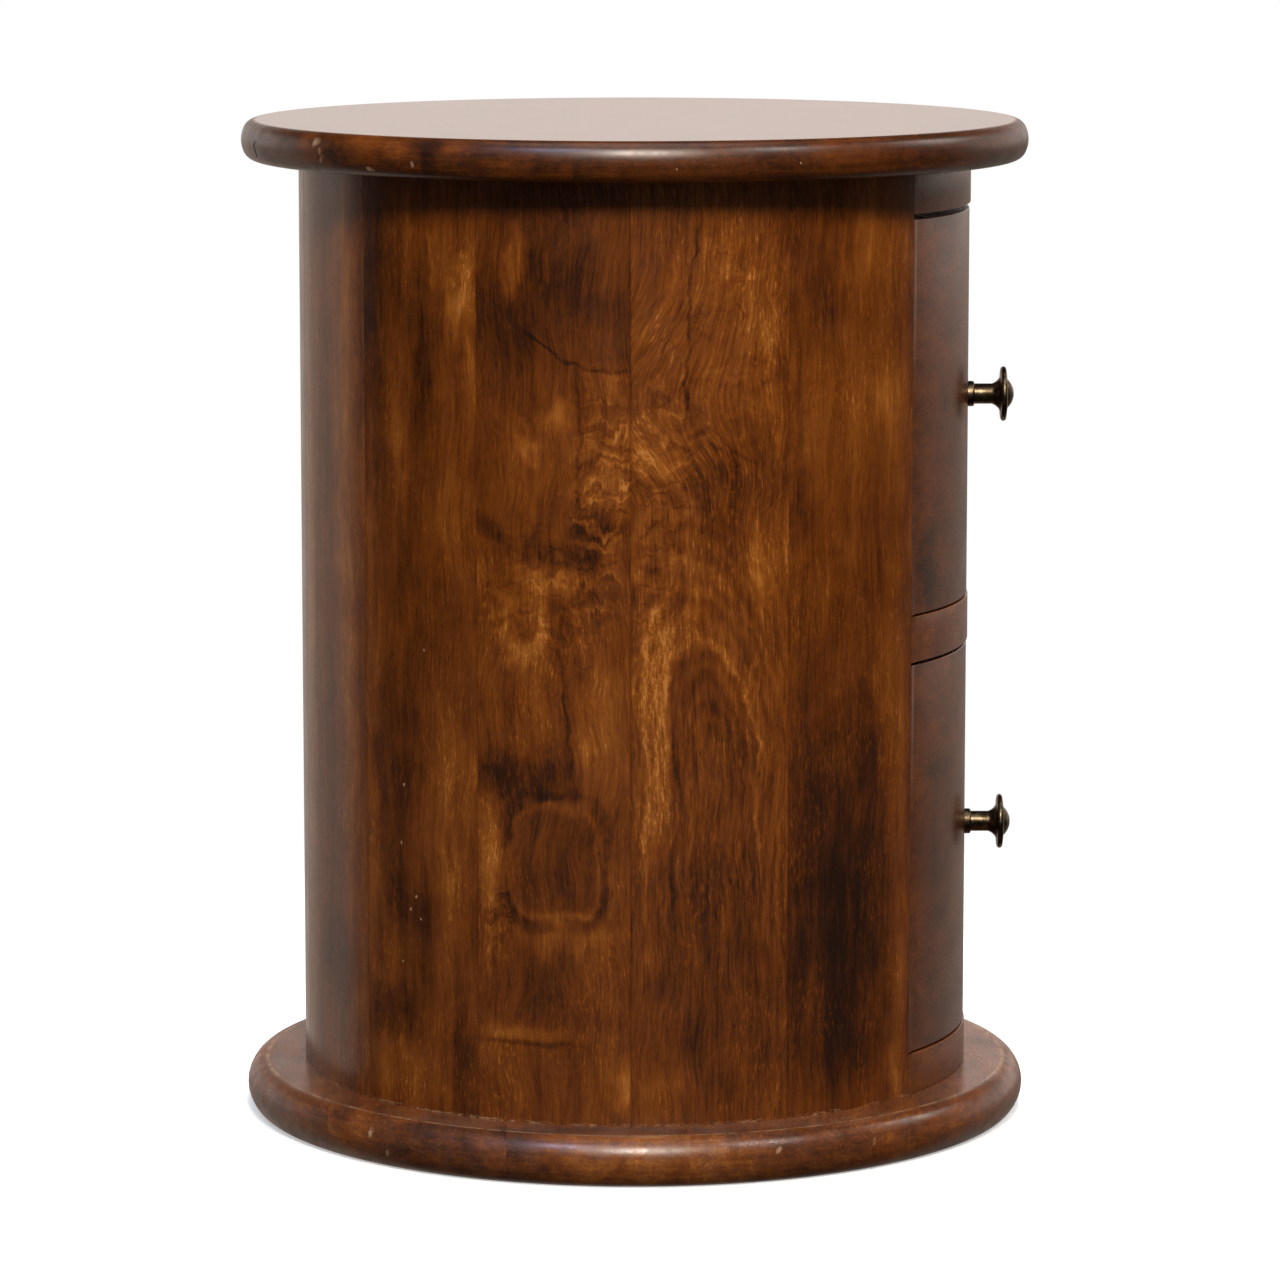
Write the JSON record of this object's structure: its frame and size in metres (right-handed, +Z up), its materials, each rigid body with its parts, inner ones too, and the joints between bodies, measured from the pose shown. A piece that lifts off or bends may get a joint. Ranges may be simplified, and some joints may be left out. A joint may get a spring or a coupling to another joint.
{
  "type": "drum chest",
  "caption": "Round coopered wooden drum chest with bow-fronted drawers and brass knobs, between a round top and a wider round base; a bedside or side table.",
  "frame": {"origin": "centre of the underside of the round base, where the chest stands", "axes": "+Z up; the drawers face and pull out towards -Y; +X to the right seen from the front"},
  "size_m": [0.402, 0.402, 0.51],
  "materials": {
    "top_wood": "warm brown stain under semi-gloss lacquer, worn rim",
    "base_wood": "warm brown stain under semi-gloss lacquer, worn rim",
    "stave_wood": "figured hardwood, chestnut stain, semi-gloss lacquer",
    "rail_wood": "warm brown stain under semi-gloss lacquer",
    "drawer_front_wood": "brown stain under semi-gloss lacquer",
    "drawer_box_wood": "bare light hardwood",
    "panel_wood": "bare plywood",
    "inner_wood": "bare sawn hardwood",
    "dowel_wood": "bare beech",
    "knob_brass": "turned brass with a dark antique patina",
    "screw_steel": "plain zinc-plated steel"
  },
  "bodies": {
    "carcass": {"back_rail": "inner_wood", "back_rail_screws": "screw_steel", "base_board_1": "base_wood", "base_board_2": "base_wood", "base_board_3": "base_wood", "base_board_4": "base_wood", "base_board_5": "base_wood", "bottom_rail": "rail_wood", "bottom_runner_left": "inner_wood", "bottom_runner_right": "inner_wood", "drawer_stops": "inner_wood", "frame_dowels": "dowel_wood", "lower_guide_left": "inner_wood", "lower_guide_right": "inner_wood", "middle_rail": "rail_wood", "middle_runner_left": "inner_wood", "middle_runner_right": "inner_wood", "runner_screws": "screw_steel", "stave_01": "stave_wood", "stave_02": "stave_wood", "stave_03": "stave_wood", "stave_04": "stave_wood", "stave_05": "stave_wood", "stave_06": "stave_wood", "stave_07": "stave_wood", "stave_08": "stave_wood", "stave_09": "stave_wood", "stave_10": "stave_wood", "stave_11": "stave_wood", "stave_screws": "screw_steel", "top_board_1": "top_wood", "top_board_2": "top_wood", "top_board_3": "top_wood", "top_board_4": "top_wood", "top_board_5": "top_wood", "top_kicker_left": "inner_wood", "top_kicker_right": "inner_wood", "top_rail": "rail_wood", "top_screws": "screw_steel", "upper_guide_left": "inner_wood", "upper_guide_right": "inner_wood"},
    "upper_drawer": {"upper_drawer_back": "drawer_box_wood", "upper_drawer_bottom": "panel_wood", "upper_drawer_front": "drawer_front_wood", "upper_drawer_left_side": "drawer_box_wood", "upper_drawer_pins": "screw_steel", "upper_drawer_right_side": "drawer_box_wood", "upper_knob": "knob_brass", "upper_knob_bolt": "screw_steel", "upper_knob_washer": "screw_steel"},
    "lower_drawer": {"lower_drawer_back": "drawer_box_wood", "lower_drawer_bottom": "panel_wood", "lower_drawer_front": "drawer_front_wood", "lower_drawer_left_side": "drawer_box_wood", "lower_drawer_pins": "screw_steel", "lower_drawer_right_side": "drawer_box_wood", "lower_knob": "knob_brass", "lower_knob_bolt": "screw_steel", "lower_knob_washer": "screw_steel"}
  },
  "joints": [
    {"name": "lower_drawer_slide", "type": "slide", "parent": "carcass", "child": "lower_drawer", "axis": [0, -1, 0], "range_m": [0, 0.16]},
    {"name": "upper_drawer_slide", "type": "slide", "parent": "carcass", "child": "upper_drawer", "axis": [0, -1, 0], "range_m": [0, 0.16]}
  ]
}
